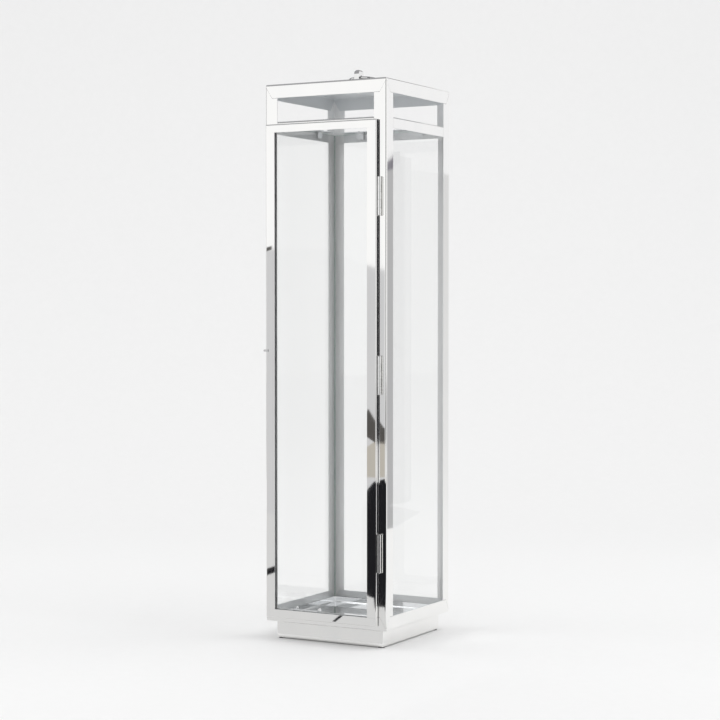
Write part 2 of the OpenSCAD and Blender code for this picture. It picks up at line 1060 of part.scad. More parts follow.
lift_ring();
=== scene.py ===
"""Tall square candle lantern in mirror polished steel and clear glass.

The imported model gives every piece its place. Each sub-assembly below dresses its
own pieces and builds the ones that need finer meshes than the frame holds.
"""

import logging
import math
from dataclasses import dataclass, field
from enum import Enum

import bmesh
import bpy
from mathutils import Matrix, Vector


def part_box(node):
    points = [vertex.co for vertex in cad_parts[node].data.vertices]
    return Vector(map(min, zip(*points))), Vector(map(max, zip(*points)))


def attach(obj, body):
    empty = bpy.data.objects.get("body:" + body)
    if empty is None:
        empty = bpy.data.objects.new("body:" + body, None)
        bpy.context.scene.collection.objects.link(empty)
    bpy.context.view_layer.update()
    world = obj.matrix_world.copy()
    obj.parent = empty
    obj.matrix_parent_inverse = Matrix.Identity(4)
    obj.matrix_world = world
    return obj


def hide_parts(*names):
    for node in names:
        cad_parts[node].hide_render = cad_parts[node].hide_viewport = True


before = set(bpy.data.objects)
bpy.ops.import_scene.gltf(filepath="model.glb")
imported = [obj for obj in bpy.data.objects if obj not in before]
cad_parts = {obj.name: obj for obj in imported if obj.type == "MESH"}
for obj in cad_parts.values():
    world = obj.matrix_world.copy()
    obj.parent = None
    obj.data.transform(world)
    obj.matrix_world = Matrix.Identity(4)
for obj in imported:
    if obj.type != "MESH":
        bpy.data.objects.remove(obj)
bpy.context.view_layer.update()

LOG = logging.getLogger("lantern")
MM = 0.001
SIDES = ("right", "back", "left")
LEVELS = ("upper", "middle", "lower")


class Axis(Enum):
    """Which world axis a thin sheet is square to."""

    X = 0
    Y = 1


# ---- Node helpers ---------------------------------------------------------


class NodePlan:
    """A material's node tree, with short calls to add and join nodes."""

    def __init__(self, name: str) -> None:
        """Starts an empty material.

        Args:
            name: the material's name.
        """
        self.material = bpy.data.materials.new(name)
        self.material.use_nodes = True
        self.tree = self.material.node_tree
        self.tree.nodes.clear()

    def add(self, kind: str, **values: object) -> bpy.types.Node:
        """Adds one node and sets its properties.

        Args:
            kind: the node's type name.
            **values: properties of the node to set.

        Returns:
            The new node.
        """
        node = self.tree.nodes.new(kind)
        for key, value in values.items():
            setattr(node, key, value)
        return node

    def join(self, source: bpy.types.NodeSocket, target: bpy.types.NodeSocket) -> None:
        """Links an output to an input."""
        self.tree.links.new(source, target)

    def finish(self, shader: bpy.types.NodeSocket) -> bpy.types.Material:
        """Links a shader to the material's output.

        Args:
            shader: the surface shader's output socket.

        Returns:
            The finished material.
        """
        output = self.add("ShaderNodeOutputMaterial")
        self.join(shader, output.inputs["Surface"])
        return self.material

    def noise(self, scale: tuple[float, float, float], detail: float = 2.0,
              roughness: float = 0.5) -> bpy.types.NodeSocket:
        """Adds noise in the object's own space.

        Args:
            scale: waves per metre along X, Y and Z.
            detail: how many finer octaves are added.
            roughness: how strong the finer octaves are.

        Returns:
            The noise value's socket.
        """
        coords = self.add("ShaderNodeTexCoord")
        mapping = self.add("ShaderNodeMapping")
        mapping.inputs["Scale"].default_value = scale
        noise = self.add("ShaderNodeTexNoise")
        noise.inputs["Scale"].default_value = 1.0
        noise.inputs["Detail"].default_value = detail
        noise.inputs["Roughness"].default_value = roughness
        self.join(coords.outputs["Object"], mapping.inputs["Vector"])
        self.join(mapping.outputs["Vector"], noise.inputs["Vector"])
        return noise.outputs["Fac"]

    def spread(self, value: bpy.types.NodeSocket, low: float, high: float,
               start: float = 0.3, end: float = 0.7) -> bpy.types.NodeSocket:
        """Maps a value from one range to another.

        Args:
            value: the socket to read.
            low: the result at start.
            high: the result at end.
            start: where the input's range begins.
            end: where the input's range ends.

        Returns:
            The mapped value's socket.
        """
        node = self.add("ShaderNodeMapRange")
        node.inputs["From Min"].default_value = start
        node.inputs["From Max"].default_value = end
        node.inputs["To Min"].default_value = low
        node.inputs["To Max"].default_value = high
        self.join(value, node.inputs["Value"])
        return node.outputs["Result"]

    def blend(self, value: bpy.types.NodeSocket, first: tuple, second: tuple
              ) -> bpy.types.NodeSocket:
        """Blends two colours by a value.

        Args:
            value: the socket that chooses between them.
            first: the colour at 0.
            second: the colour at 1.

        Returns:
            The blended colour's socket.
        """
        ramp = self.add("ShaderNodeValToRGB")
        ramp.color_ramp.elements[0].color = (*first, 1.0)
        ramp.color_ramp.elements[1].color = (*second, 1.0)
        self.join(value, ramp.inputs["Fac"])
        return ramp.outputs["Color"]

    def bump(self, value: bpy.types.NodeSocket, height: float,
             below: bpy.types.NodeSocket | None = None) -> bpy.types.NodeSocket:
        """Raises the surface by a value.

        Args:
            value: the height's socket.
            height: how high a value of 1 stands, in metres.
            below: another bump to stand on.

        Returns:
            The normal's socket.
        """
        node = self.add("ShaderNodeBump")
        node.inputs["Strength"].default_value = 1.0
        node.inputs["Distance"].default_value = height
        self.join(value, node.inputs["Height"])
        if below is not None:
            self.join(below, node.inputs["Normal"])
        return node.outputs["Normal"]


# ---- Finishes -------------------------------------------------------------


@dataclass(frozen=True)
class MirrorSteel:
    """Stainless sheet: mirror polished outside, satin on its inner faces.

    The sheet is slightly wavy, and has faint polishing lines. A face is an inner one
    where it looks towards the middle of the lantern.
    """

    name: str = "mirror_steel"
    bright: tuple = (0.96, 0.955, 0.94)
    dull: tuple = (0.93, 0.93, 0.92)
    satin: tuple = (0.80, 0.82, 0.835)
    satin_metal: float = 0.5
    satin_roughness: float = 0.4
    middle: tuple = (0.0, 0.0034, 0.41)
    has_satin: bool = True
    roughness: float = 0.025
    smudge: float = 0.055
    wave_height: float = 0.04 * MM
    wave: tuple = (14.0, 14.0, 7.0)
    line_height: float = 0.0006 * MM
    lines: tuple = (900.0, 900.0, 12.0)

    def build(self) -> bpy.types.Material:
        """Makes the material.

        Returns:
            The material.
        """
        plan = NodePlan(self.name)
        smears = plan.noise((22.0, 22.0, 9.0), detail=4.0)
        swell = plan.bump(plan.noise(self.wave, detail=1.0), self.wave_height)
        polish = plan.bump(plan.noise(self.lines, detail=3.0), self.line_height, swell)
        mirror = plan.add("ShaderNodeBsdfPrincipled")
        mirror.inputs["Metallic"].default_value = 1.0
        plan.join(plan.blend(plan.spread(smears, 0.0, 1.0), self.bright, self.dull),
                  mirror.inputs["Base Color"])
        plan.join(plan.spread(smears, self.roughness, self.smudge), mirror.inputs["Roughness"])
        plan.join(polish, mirror.inputs["Normal"])
        if not self.has_satin:
            return plan.finish(mirror.outputs["BSDF"])
        satin = plan.add("ShaderNodeBsdfPrincipled")
        satin.inputs["Metallic"].default_value = self.satin_metal
        dimmer = tuple(level * 0.93 for level in self.satin)
        plan.join(plan.blend(plan.spread(smears, 0.0, 1.0), self.satin, dimmer),
                  satin.inputs["Base Color"])
        plan.join(plan.spread(smears, self.satin_roughness, self.satin_roughness * 1.3),
                  satin.inputs["Roughness"])
        plan.join(polish, satin.inputs["Normal"])
        mix = plan.add("ShaderNodeMixShader")
        plan.join(self.inner_mask(plan), mix.inputs["Fac"])
        plan.join(mirror.outputs["BSDF"], mix.inputs[1])
        plan.join(satin.outputs["BSDF"], mix.inputs[2])
        return plan.finish(mix.outputs["Shader"])

    def inner_mask(self, plan: NodePlan) -> bpy.types.NodeSocket:
        """Tells inner faces from outer ones.

        Args:
            plan: the material's node tree.

        Returns:
            A socket that is 1 where the face looks towards the lantern's middle.
        """
        coords = plan.add("ShaderNodeTexCoord")
        away = plan.add("ShaderNodeVectorMath", operation="SUBTRACT")
        away.inputs[1].default_value = self.middle
        plan.join(coords.outputs["Object"], away.inputs[0])
        facing = plan.add("ShaderNodeVectorMath", operation="DOT_PRODUCT")
        plan.join(away.outputs["Vector"], facing.inputs[0])
        plan.join(coords.outputs["Normal"], facing.inputs[1])
        inner = plan.add("ShaderNodeMath", operation="LESS_THAN")
        inner.inputs[1].default_value = 0.0
        plan.join(facing.outputs["Value"], inner.inputs[0])
        return inner.outputs["Value"]


@dataclass(frozen=True)
class WorkedMetal:
    """Zinc plated, turned or dull metal with a fine broken grain."""

    name: str
    light: tuple
    dark: tuple
    roughness: float = 0.3
    grain: tuple = (400.0, 400.0, 400.0)
    grain_height: float = 0.01 * MM

    def build(self) -> bpy.types.Material:
        """Makes the material.

        Returns:
            The material.
        """
        plan = NodePlan(self.name)
        shader = plan.add("ShaderNodeBsdfPrincipled")
        shader.inputs["Metallic"].default_value = 1.0
        grain = plan.noise(self.grain, detail=4.0, roughness=0.6)
        plan.join(plan.blend(plan.spread(grain, 0.0, 1.0), self.light, self.dark),
                  shader.inputs["Base Color"])
        plan.join(plan.spread(grain, self.roughness, self.roughness * 1.5),
                  shader.inputs["Roughness"])
        plan.join(plan.bump(grain, self.grain_height), shader.inputs["Normal"])
        return plan.finish(shader.outputs["BSDF"])


@dataclass(frozen=True)
class ClearGlass:
    """Clear float glass, a little uneven, that lets light through to the floor."""

    name: str = "clear_glass"
    tint: tuple = (0.998, 1.0, 0.999)
    film: tuple = (0.99, 0.994, 0.992)
    ior: float = 1.5
    roughness: float = 0.0
    wave_height: float = 0.01 * MM

    def build(self) -> bpy.types.Material:
        """Makes the material.

        Returns:
            The material.
        """
        plan = NodePlan(self.name)
        shader = plan.add("ShaderNodeBsdfPrincipled")
        shader.inputs["Roughness"].default_value = self.roughness
        shader.inputs["IOR"].default_value = self.ior
        shader.inputs["Transmission Weight"].default_value = 1.0
        haze = plan.noise((9.0, 9.0, 5.0), detail=3.0)
        plan.join(plan.blend(plan.spread(haze, 0.0, 1.0), self.tint, self.film),
                  shader.inputs["Base Color"])
        plan.join(plan.bump(plan.noise((5.0, 5.0, 4.0), detail=1.0), self.wave_height),
                  shader.inputs["Normal"])
        clear = plan.add("ShaderNodeBsdfTransparent")
        clear.inputs["Color"].default_value = (*self.tint, 1.0)
        path = plan.add("ShaderNodeLightPath")
        mix = plan.add("ShaderNodeMixShader")
        plan.join(path.outputs["Is Shadow Ray"], mix.inputs["Fac"])
        plan.join(shader.outputs["BSDF"], mix.inputs[1])
        plan.join(clear.outputs["BSDF"], mix.inputs[2])
        return plan.finish(mix.outputs["Shader"])


@dataclass(frozen=True)
class SoftSolid:
    """Rubber, nylon or ground glass: a matt solid with a fine mottle."""

    name: str
    light: tuple
    dark: tuple
    roughness: float = 0.7
    transmission: float = 0.0
    mottle: float = 500.0
    mottle_height: float = 0.03 * MM

    def build(self) -> bpy.types.Material:
        """Makes the material.

        Returns:
            The material.
        """
        plan = NodePlan(self.name)
        shader = plan.add("ShaderNodeBsdfPrincipled")
        shader.inputs["Transmission Weight"].default_value = self.transmission
        mottle = plan.noise((self.mottle,) * 3, detail=4.0, roughness=0.6)
        plan.join(plan.blend(plan.spread(mottle, 0.0, 1.0), self.light, self.dark),
                  shader.inputs["Base Color"])
        plan.join(plan.spread(mottle, self.roughness, min(1.0, self.roughness * 1.2)),
                  shader.inputs["Roughness"])
        plan.join(plan.bump(mottle, self.mottle_height), shader.inputs["Normal"])
        return plan.finish(shader.outputs["BSDF"])


@dataclass
class Finishes:
    """Every finish of the lantern, built once."""

    steel: bpy.types.Material = field(init=False)
    post_steel_painted_light: bpy.types.Material = field(init=False)
    floor_steel: bpy.types.Material = field(init=False)
    fittings: bpy.types.Material = field(init=False)
    zinc: bpy.types.Material = field(init=False)
    weld: bpy.types.Material = field(init=False)
    glass: bpy.types.Material = field(init=False)
    glass_edge: bpy.types.Material = field(init=False)
    rubber: bpy.types.Material = field(init=False)
    pad: bpy.types.Material = field(init=False)
    nylon: bpy.types.Material = field(init=False)
    magnet: bpy.types.Material = field(init=False)

    def build(self) -> "Finishes":
        """Makes all the materials.

        Returns:
            This object, filled in.
        """
        self.steel = MirrorSteel().build()
        # The posts' inner faces take a lighter, less metallic copy of the satin: painted light
        # standing in for the bright room these faces reflect.
        self.post_steel_painted_light = MirrorSteel(name="post_steel_painted_light", satin=(0.92, 0.925, 0.93),
                                      satin_metal=0.2).build()
        self.floor_steel = MirrorSteel(name="tray_steel", wave=(10.0, 10.0, 10.0),
                                       roughness=0.03, smudge=0.06, has_satin=False,
                                       bright=(0.8, 0.81, 0.82),
                                       dull=(0.74, 0.75, 0.76)).build()
        self.fittings = MirrorSteel(name="fitting_steel", wave_height=0.0, has_satin=False,
                                    bright=(0.88, 0.88, 0.87), dull=(0.8, 0.8, 0.8),
                                    roughness=0.06, smudge=0.12).build()
        self.zinc = WorkedMetal("zinc_plate", (0.66, 0.67, 0.68), (0.55, 0.56, 0.57)).build()
        # Near-black metal for the seam lines: painted shade in the grooves, not a weld.
        self.weld = WorkedMetal("seam_shadow", (0.1, 0.1, 0.11), (0.06, 0.06, 0.07)).build()
        self.glass = ClearGlass().build()
        self.glass_edge = SoftSolid("ground_glass_edge", (0.62, 0.78, 0.72), (0.5, 0.7, 0.63),
                                    roughness=0.35, transmission=0.6,
                                    mottle_height=0.01 * MM).build()
        self.rubber = SoftSolid("black_rubber", (0.05, 0.05, 0.05), (0.03, 0.03, 0.03)).build()
        self.pad = SoftSolid("clear_rubber", (0.82, 0.82, 0.8), (0.74, 0.74, 0.72),
                             roughness=0.45, transmission=0.3).build()
        self.nylon = SoftSolid("nylon", (0.85, 0.85, 0.82), (0.78, 0.78, 0.75),
                               roughness=0.4).build()
        self.magnet = WorkedMetal("magnet", (0.26, 0.26, 0.28), (0.18, 0.18, 0.19),
                                  roughness=0.5).build()
        return self


def dress(node: str, material: bpy.types.Material) -> None:
    """Gives a carried-over piece its finish.

    Args:
        node: the piece's name.
        material: the finish.
    """
    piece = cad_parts[node]
    for place in piece.material_slots:
        place.material = material
    if not piece.material_slots:
        piece.data.materials.append(material)
    LOG.info("dressed %s in %s", node, material.name)


def dress_all(nodes: tuple[str, ...], material: bpy.types.Material) -> None:
    """Gives several pieces one finish.

    Args:
        nodes: the pieces' names.
        material: the finish.
    """
    for node in nodes:
        dress(node, material)


def place_mesh(name: str, mesh: bmesh.types.BMesh, materials: list[bpy.types.Material],
               smooth: bool = False) -> bpy.types.Object:
    """Makes an object from a finished mesh.

    Args:
        name: the piece's name.
        mesh: the mesh, which is freed.
        materials: the piece's finishes, in slot order.
        smooth: whether faces are shaded smooth.

    Returns:
        The new object.
    """
    bmesh.ops.recalc_face_normals(mesh, faces=mesh.faces)
    data = bpy.data.meshes.new(name)
    mesh.to_mesh(data)
    mesh.free()
    for material in materials:
        data.materials.append(material)
    for face in data.polygons:
        face.use_smooth = smooth
    piece = bpy.data.objects.new(name, data)
    bpy.context.scene.collection.objects.link(piece)
    LOG.info("built %s, %d faces", name, len(data.polygons))
    return piece


# ---- Sub-assemblies -------------------------------------------------------


@dataclass
class CrossScrew:
    """Pan head of a screw with a cross recess, and its shank."""

    head_r: float
    head_h: float
    shank_r: float
    shank_l: float
    arm_l: float
    arm_w: float
    depth: float
    segments: int = 48

    def reach(self, angle: float) -> float:
        """How far the recess reaches at an angle.

        Args:
            angle: the angle round the screw, in radians.

        Returns:
            The distance from the middle, in metres.
        """
        across = max(abs(math.sin(angle)), 1e-6)
        along = max(abs(math.cos(angle)), 1e-6)
        first = min(self.arm_l / along, self.arm_w / 2 / across)
        second = min(self.arm_l / across, self.arm_w / 2 / along)
        return max(first, second)

    def add_to(self, mesh: bmesh.types.BMesh, place: Matrix) -> None:
        """Adds one screw that stands on the place's origin, along its Z.

        Args:
            mesh: the mesh to add to.
            place: where the screw goes.
        """
        dome = 6
        profile = [(self.shank_r, -self.shank_l), (self.shank_r, 0.0), (self.head_r, 0.0),
                   (self.head_r, self.head_h * 0.35)]
        for step in range(1, dome + 1):
            turn = math.pi / 2 * step / (dome + 1)
            profile.append((self.arm_l * 1.15 + (self.head_r - self.arm_l * 1.15)
                            * math.cos(turn),
                            self.head_h * (0.35 + 0.65 * math.sin(turn))))
        rings = [[(r, r, z)] * self.segments for r, z in profile]
        turns = [2 * math.pi * i / self.segments for i in range(self.segments)]
        for share, z in ((1.0, self.head_h), (0.75, self.head_h - self.depth)):
            rings.append([(self.reach(a) * share, self.reach(a) * share, z) for a in turns])
        loops = []
        for ring in rings:
            loops.append([mesh.verts.new(place @ Vector((x * math.cos(a), y * math.sin(a), z)))
                          for (x, y, z), a in zip(ring, turns)])
        for low, high in zip(loops, loops[1:]):
            for i in range(self.segments):
                j = (i + 1) % self.segments
                mesh.faces.new((low[i], low[j], high[j], high[i]))
        mesh.faces.new(loops[0][::-1])
        mesh.faces.new(loops[-1])


@dataclass
class GlassPane:
    """A pane with ground edges and a fine arris all round."""

    node: str
    body: str
    thin: Axis
    arris: float = 0.4 * MM

    def build(self, finishes: Finishes) -> bpy.types.Object:
        """Builds the pane in its node's place.

        Args:
            finishes: the lantern's finishes.

        Returns:
            The pane.
        """
        low, high = (Vector(corner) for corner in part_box(self.node))
        mesh = bmesh.new()
        size = high - low
        middle = (low + high) / 2
        place = Matrix.Translation(middle) @ Matrix.Diagonal((*size, 1.0))
        bmesh.ops.create_cube(mesh, size=1.0, matrix=place)
        bmesh.ops.bevel(mesh, geom=list(mesh.edges), offset=self.arris, segments=1,
                        profile=0.5, affect="EDGES")
        mesh.normal_update()
        for face in mesh.faces:
            face.material_index = 0 if abs(face.normal[self.thin.value]) > 0.9 else 1
        pane = place_mesh(self.node + "_pane", mesh, [finishes.glass, finishes.glass_edge])
        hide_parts(self.node)
        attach(pane, self.body)
        return pane


@dataclass
class Base:
    """Plinth, foot pads, floor tray and the screws between them."""

    screw: CrossScrew = field(default_factory=lambda: CrossScrew(
        head_r=2.8 * MM, head_h=1.6 * MM, shank_r=1.5 * MM, shank_l=6.0 * MM,
        arm_l=1.5 * MM, arm_w=0.6 * MM, depth=0.8 * MM))
    first_turn: float = 0.4
    turn_step: float = 1.1

    def build(self, finishes: Finishes) -> None:
        """Dresses the base and builds its screws.

        Args:
            finishes: the lantern's finishes.
        """
        dress("plinth", finishes.steel)
        dress("floor_tray", finishes.floor_steel)
        dress("foot_pads", finishes.rubber)
        dress("tray_nuts", finishes.zinc)
        dress("tray_washers", finishes.nylon)
        low, high = (Vector(corner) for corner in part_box("tray_screws"))
        head_z = high.z - self.screw.head_h
        mesh = bmesh.new()
        turn = self.first_turn
        for x in (low.x + self.screw.head_r, high.x - self.screw.head_r):
            for y in (low.y + self.screw.head_r, high.y - self.screw.head_r):
                turn += self.turn_step
                place = Matrix.Translation((x, y, head_z)) @ Matrix.Rotation(turn, 4, "Z")
                self.screw.shank_l = head_z - low.z
                self.screw.add_to(mesh, place)
        screws = place_mesh("floor_screws", mesh, [finishes.fittings])
        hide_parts("tray_screws")
        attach(screws, "case")
        LOG.info("base done")


@dataclass
class OpenFrame:
    """Rails, posts, vent rails and cap."""

    posts: tuple[str, ...] = (
        "post_front_left_front", "post_front_left_side",
        "post_front_right_side", "post_front_right_front",
        "post_back_right_back", "post_back_right_side",
        "post_back_left_side", "post_back_left_back")
    sheets: tuple[str, ...] = (
        "bottom_rail_front", "bottom_rail_right", "bottom_rail_back", "bottom_rail_left",
        "vent_rail_front", "vent_rail_right", "vent_rail_back", "vent_rail_left", "top_cap")

    def build(self, finishes: Finishes) -> None:
        """Dresses the frame's sheets.

        Args:
            finishes: the lantern's finishes.
        """
        dress_all(self.posts, finishes.post_steel_painted_light)
        dress_all(self.sheets, finishes.steel)
        LOG.info("frame: %d pieces dressed", len(self.posts) + len(self.sheets))


@dataclass
class SeamLines:
    """Dark lines of painted shade in the grooves where the posts' points meet rails and cap.
    """

    groove: float = 0.35 * MM
    below: float = 0.08 * MM
    deep: float = 0.2 * MM
    run: float = 11.0 * MM
    flange: float = 20.0 * MM
    fold: float = 2.5 * MM
    rail_h: float = 20.0 * MM

    def add_line(self, mesh: bmesh.types.BMesh, corner: Matrix, points: list) -> None:
        """Adds one bent strip, in a corner's own axes.

        Args:
            mesh: the mesh to add to.
            corner: the corner's place, with X along the face and Y inwards.
            points: distances from the corner and heights of the strip's lower edge.
        """
        rows = []
        for x, z in points:
            rows.append([mesh.verts.new(corner @ Vector((x, y, z + dz)))
                         for y, dz in ((self.below, 0.0), (self.below, self.groove),
                                       (self.deep, self.groove), (self.deep, 0.0))])
        for first, second in zip(rows, rows[1:]):
            for i in range(4):
                j = (i + 1) % 4
                mesh.faces.new((first[i], first[j], second[j], second[i]))
        mesh.faces.new(rows[0][::-1])
        mesh.faces.new(rows[-1])

    def build(self, finishes: Finishes) -> None:
        """Builds the lines of all four posts.

        Args:
            finishes: the lantern's finishes.
        """
        frame_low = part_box("bottom_rail_front")[0][2]
        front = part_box("bottom_rail_front")[0][1]
        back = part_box("bottom_rail_back")[1][1]
        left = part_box("bottom_rail_left")[0][0]
        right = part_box("bottom_rail_right")[1][0]
        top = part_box("top_cap")[1][2]
        mesh = bmesh.new()
        start = self.fold / 2
        rise = (self.rail_h - self.fold) / self.run * start
        low = [(start, frame_low + self.fold + rise), (self.run, frame_low + self.rail_h),
               (self.flange - 0.1 * MM, frame_low + self.rail_h)]
        high = [(x, top + frame_low - z - self.groove) for x, z in low]
        corners = ((left, front), (right, front), (right, back), (left, back))
        for k, (x, y) in enumerate(corners):
            ahead = Matrix.Translation((x, y, 0.0)) @ Matrix.Rotation(k * math.pi / 2, 4, "Z")
            other = ahead @ Matrix(((0, 1, 0, 0), (1, 0, 0, 0), (0, 0, 1, 0), (0, 0, 0, 1)))
            for line in (low, high):
                self.add_line(mesh, ahead, line)
                self.add_line(mesh, other, line)
        lines = place_mesh("post_seam_lines", mesh, [finishes.weld])
        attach(lines, "case")
        LOG.info("seams: %d corners built", len(corners))


@dataclass
class Glazing:
    """The three fixed panes, their pads, clips and screws."""

    def build(self, finishes: Finishes) -> None:
        """Builds the panes and dresses what holds them.

        Args:
            finishes: the lantern's finishes.
        """
        thin = {"right": Axis.X, "back": Axis.Y, "left": Axis.X}
        for side in SIDES:
            GlassPane("glass_" + side, "case", thin[side]).build(finishes)
        dress("glass_pads", finishes.pad)
        dress("glass_clips", finishes.steel)
        dress("clip_screws", finishes.fittings)
        LOG.info("glazing: %d panes built", len(SIDES))


@dataclass
class Door:
    """The door's frame, pane, pull and strike."""

    def build(self, finishes: Finishes) -> None:
        """Dresses the door's frame and builds its pane.

        Args:
            finishes: the lantern's finishes.
        """
        dress_all(("door_rail_top", "door_rail_bottom", "door_stile_left",
                   "door_stile_right"), finishes.steel)
        dress("door_pull", finishes.fittings)
        dress("door_strike", finishes.zinc)
        GlassPane("door_glass", "door", Axis.Y).build(finishes)
        LOG.info("door: frame dressed, pane built")


@dataclass
class Hardware:
    """Hinges, catch, and the ring in its eye."""

    def build(self, finishes: Finishes) -> None:
        """Dresses the hardware.

        Args:
            finishes: the lantern's finishes.
        """
        for level in LEVELS:
            dress("hinge_leaf_frame_" + level, finishes.fittings)
            dress("hinge_leaf_door_" + level, finishes.fittings)
            dress("hinge_pin_" + level, finishes.fittings)
        dress_all(("frame_rivets", "door_rivets", "eye", "eye_washer", "lift_ring"),
                  finishes.fittings)
        dress_all(("eye_nut", "catch_cup"), finishes.zinc)
        dress("catch_magnet", finishes.magnet)
        LOG.info("hardware: hinges, catch, eye and ring dressed")


# ---- Studio ---------------------------------------------------------------


@dataclass
class Card:
    """A flat studio card, placed by its corners, that only the polish shows."""

    name: str
    corners: list[tuple[float, float, float]]
    level: tuple[float, float, float]

    def build(self) -> bpy.types.Object:
        """Builds the card.

        Returns:
            The card.
        """
        mesh = bmesh.new()
        mesh.faces.new([mesh.verts.new(corner) for corner in self.corners])
        plan = NodePlan(self.name)
        glow = plan.add("ShaderNodeEmission")
        glow.inputs["Color"].default_value = (*self.level, 1.0)
        card = place_mesh(self.name, mesh, [plan.finish(glow.outputs["Emission"])])
        card.visible_camera = False
        card.visible_diffuse = False
        card.visible_shadow = False
        card.visible_transmission = False
        return card


@dataclass
class Studio:
    """Pale sweep, soft lamps, cards for the polish, and the camera."""

    lens: float = 92.26
    eye: tuple = (1.3291, -2.3908, 0.4848)
    turn_deg: float = 29.0
    tilt_deg: float = 1.608
    floor_level: float = 0.88
    world_diffuse: float = 0.78
    world_shown: float = 1.0

    def build(self) -> None:
        """Builds the whole studio."""
        self.build_world()
        self.build_sweep()
        self.build_lamps()
        self.build_cards()
        self.build_camera()
        LOG.info("studio: sweep, lamps, cards and camera")

    def build_world(self) -> None:
        """Sets the pale surround, shown whiter than it lights."""
        world = bpy.data.worlds.new("studio")
        bpy.context.scene.world = world
        world.use_nodes = True
        tree = world.node_tree
        tree.nodes.clear()
        output = tree.nodes.new("ShaderNodeOutputWorld")
        mix = tree.nodes.new("ShaderNodeMixShader")
        lit = tree.nodes.new("ShaderNodeBackground")
        shown = tree.nodes.new("ShaderNodeBackground")
        lit.inputs["Color"].default_value = (1.0, 1.0, 1.0, 1.0)
        lit.inputs["Strength"].default_value = self.world_diffuse
        shown.inputs["Color"].default_value = (1.0, 1.0, 1.0, 1.0)
        shown.inputs["Strength"].default_value = self.world_shown
        path = tree.nodes.new("ShaderNodeLightPath")
        first = tree.nodes.new("ShaderNodeMath")
        first.operation = "MAXIMUM"
        second = tree.nodes.new("ShaderNodeMath")
        second.operation = "MAXIMUM"
        tree.links.new(path.outputs["Is Camera Ray"], first.inputs[0])
        tree.links.new(path.outputs["Is Glossy Ray"], first.inputs[1])
        tree.links.new(first.outputs[0], second.inputs[0])
        tree.links.new(path.outputs["Is Transmission Ray"], second.inputs[1])
        tree.links.new(second.outputs[0], mix.inputs["Fac"])
        tree.links.new(lit.outputs[0], mix.inputs[1])
        tree.links.new(shown.outputs[0], mix.inputs[2])
        tree.links.new(mix.outputs[0], output.inputs["Surface"])

    def build_sweep(self) -> None:
        """Builds the floor that curves up into a wall."""
        width = 9.0
        front = -7.0
        bend = 1.4
        back = 2.6
        top = 5.0
        steps = 24
        line = [(front, 0.0), (back - bend, 0.0)]
        for step in range(1, steps + 1):
            turn = math.pi / 2 * step / steps
            line.append((back - bend + bend * math.sin(turn), bend - bend * math.cos(turn)))
        line.append((back, top))
        mesh = bmesh.new()
        rows = [[mesh.verts.new((x, y, z)) for x in (-width, width)] for y, z in line]
        for low, high in zip(rows, rows[1:]):
            mesh.faces.new((low[0], low[1], high[1], high[0]))
        plan = NodePlan("sweep_paper")
        shader = plan.add("ShaderNodeBsdfPrincipled")
        shader.inputs["Roughness"].default_value = 0.85
        shader.inputs["Specular IOR Level"].default_value = 0.1
        tooth = plan.noise((60.0, 60.0, 60.0), detail=3.0)
        level = self.floor_level
        plan.join(plan.blend(plan.spread(tooth, 0.0, 1.0), (level,) * 3,
                             (level * 0.99,) * 3), shader.inputs["Base Color"])
        sweep = place_mesh("sweep", mesh, [plan.finish(shader.outputs["BSDF"])], smooth=True)
        turn = Matrix.Rotation(math.radians(self.turn_deg), 4, "Z")
        sweep.data.transform(turn)

    def build_lamps(self) -> None:
        """Hangs the soft lamps."""
        for name, place, size, power in (
                ("key", (1.6, 0.4, 3.0), 2.2, 32.0),
                ("fill", (-2.2, -1.2, 2.4), 2.0, 20.0)):
            data = bpy.data.lights.new(name, "AREA")
            data.shape = "SQUARE"
            data.size = size
            data.energy = power
            lamp = bpy.data.objects.new(name, data)
            lamp.location = place
            aim = Vector((0.0, 0.0, 0.3)) - Vector(place)
            lamp.rotation_euler = aim.to_track_quat("-Z", "Y").to_euler()
            lamp.visible_glossy = False
            bpy.context.scene.collection.objects.link(lamp)

    def build_cards(self) -> None:
        """Sets up the cards that the polished sheets show."""
        self.build_surround_cards()
        self.build_front_cards()
        self.build_side_cards()

    def build_surround_cards(self) -> None:
        """Sets up the dark room behind the camera, the ceiling and the left side."""
        far = 4.2
        top = 2.6
        dark = (0.015, 0.015, 0.018)
        ahead = math.radians(self.turn_deg)
        for name, first, second in (("room_card_middle", -0.14, 0.14),
                                    ("room_card_right", 0.3, 0.55)):
            ends = [(far * math.sin(ahead + turn), -far * math.cos(ahead + turn))
                    for turn in (first, second)]
            Card(name, [(*ends[0], 0.0), (*ends[1], 0.0), (*ends[1], top),
                        (*ends[0], top)], dark).build()
        side_x = -2.6
        Card("left_card", [(side_x, -0.5, 0.0), (side_x, 0.6, 0.0), (side_x, 0.6, top),
                           (side_x, -0.5, top)], (0.08, 0.08, 0.085)).build()
        reach = 5.0
        height = 2.4
        Card("ceiling_card", [(-reach, -reach, height), (reach, -reach, height),
                              (reach, reach, height), (-reach, reach, height)],
             (0.36, 0.36, 0.37)).build()

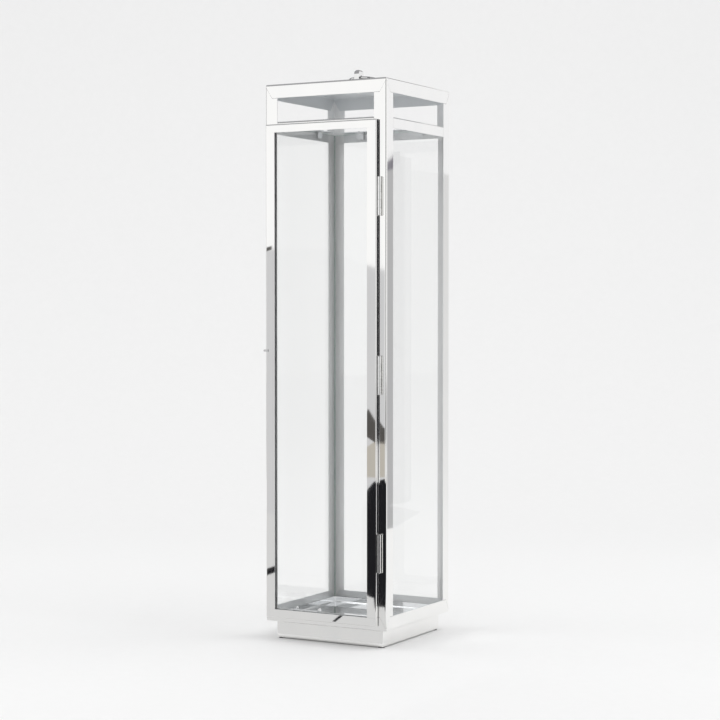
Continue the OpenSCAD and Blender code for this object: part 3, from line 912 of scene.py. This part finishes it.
    def build_front_cards(self) -> None:
        """Sets up the shapes that the door's and the frame's fronts show."""
        dark = (0.012, 0.012, 0.014)
        smoke = (0.09, 0.085, 0.08)
        beige = (0.50, 0.47, 0.42)
        grey = (0.63, 0.63, 0.64)
        near_y = -0.42
        Card("dark_front_card", [(x, near_y, z) for x, z in (
            (-0.088, 0.001), (0.9, 0.001), (0.9, 0.179), (0.1, 0.209), (-0.07, 0.212),
            (-0.09, 0.205), (-0.104, 0.189), (-0.112, 0.159), (-0.112, 0.05),
            (-0.11, 0.028), (-0.1, 0.019), (-0.09, 0.017))], dark).build()
        Card("beige_front_card", [(x, near_y, z) for x, z in (
            (-0.11, 0.212), (0.0, 0.212), (0.0, 0.273), (-0.09, 0.269),
            (-0.11, 0.256))], beige).build()
        Card("swirl_front_card", [(x, near_y, z) for x, z in (
            (-0.112, 0.272), (-0.104, 0.278), (-0.094, 0.272), (-0.084, 0.266),
            (-0.06, 0.265), (-0.06, 0.285), (-0.078, 0.292), (-0.09, 0.308),
            (-0.1, 0.323), (-0.107, 0.312), (-0.112, 0.295))], smoke).build()
        Card("dark_slash_card", [(x, near_y, z) for x, z in (
            (-0.302, 0.036), (-0.27, 0.048), (-0.27, 0.059), (-0.302, 0.047))], dark).build()
        Card("dark_tick_card", [(x, near_y, z) for x, z in (
            (-0.302, 0.577), (-0.282, 0.582), (-0.282, 0.588), (-0.302, 0.583))],
             smoke).build()
        slash_y = -0.25
        Card("rail_slash_card", [(x, slash_y, z) for x, z in (
            (-0.07, 0.006), (-0.052, 0.02), (-0.046, 0.02), (-0.064, 0.006))], dark).build()
        far_y = -1.5
        Card("grey_front_card", [(x, far_y, z) for x, z in (
            (-1.6, 0.0), (-0.4, 0.0), (-0.4, 0.56), (-0.66, 0.572), (-0.72, 0.59),
            (-0.8, 0.62), (-1.6, 0.64))], grey).build()
        floor_z = 0.0015
        Card("front_floor_card", [(-1.4, -1.49, floor_z), (0.3, -1.49, floor_z),
                                  (0.3, -0.11, floor_z), (-1.4, -0.11, floor_z)],
             (0.68, 0.68, 0.68)).build()

    def build_side_cards(self) -> None:
        """Sets up the shapes that the right-hand faces show."""
        side_x = 1.0
        grey = (0.47, 0.47, 0.48)
        Card("grey_side_card", [(side_x, y, z) for y, z in (
            (1.1, 0.0), (1.72, 0.0), (1.72, 0.86), (1.63, 0.862), (1.6, 0.84),
            (1.56, 0.82), (1.1, 0.8))], grey).build()
        Card("dark_side_card", [(side_x - 0.01, y, z) for y, z in (
            (1.56, 0.815), (1.6, 0.826), (1.64, 0.845), (1.64, 0.87), (1.615, 0.868),
            (1.59, 0.85), (1.56, 0.835))], (0.2, 0.19, 0.22)).build()
        Card("side_floor_card", [(0.80, 0.9, 0.0015), (1.0, 0.9, 0.0015),
                                 (1.0, 1.6, 0.0015), (0.86, 1.5, 0.0015),
                                 (0.77, 1.2, 0.0015)], grey).build()
        Card("white_side_card", [(1.3, 0.8, 0.88), (1.3, 3.2, 0.88), (1.3, 3.2, 2.3),
                                 (1.3, 0.8, 2.3)], (0.92, 0.92, 0.93)).build()

    def build_camera(self) -> None:
        """Places the camera."""
        data = bpy.data.cameras.new("camera")
        data.lens = self.lens
        data.sensor_width = 36.0
        camera = bpy.data.objects.new("camera", data)
        turn = math.radians(self.turn_deg)
        tilt = math.radians(self.tilt_deg)
        ahead = Vector((-math.sin(turn) * math.cos(tilt), math.cos(turn) * math.cos(tilt),
                        -math.sin(tilt)))
        camera.location = self.eye
        camera.rotation_euler = ahead.to_track_quat("-Z", "Y").to_euler()
        bpy.context.scene.collection.objects.link(camera)
        bpy.context.scene.camera = camera


def main() -> None:
    logging.basicConfig(level=logging.INFO, format="%(name)s %(message)s")
    bpy.context.scene.view_settings.view_transform = "Standard"
    Studio().build()
    finishes = Finishes().build()
    for part in (Base(), OpenFrame(), SeamLines(), Glazing(), Door(), Hardware()):
        part.build(finishes)


if __name__ == "__main__":
    main()
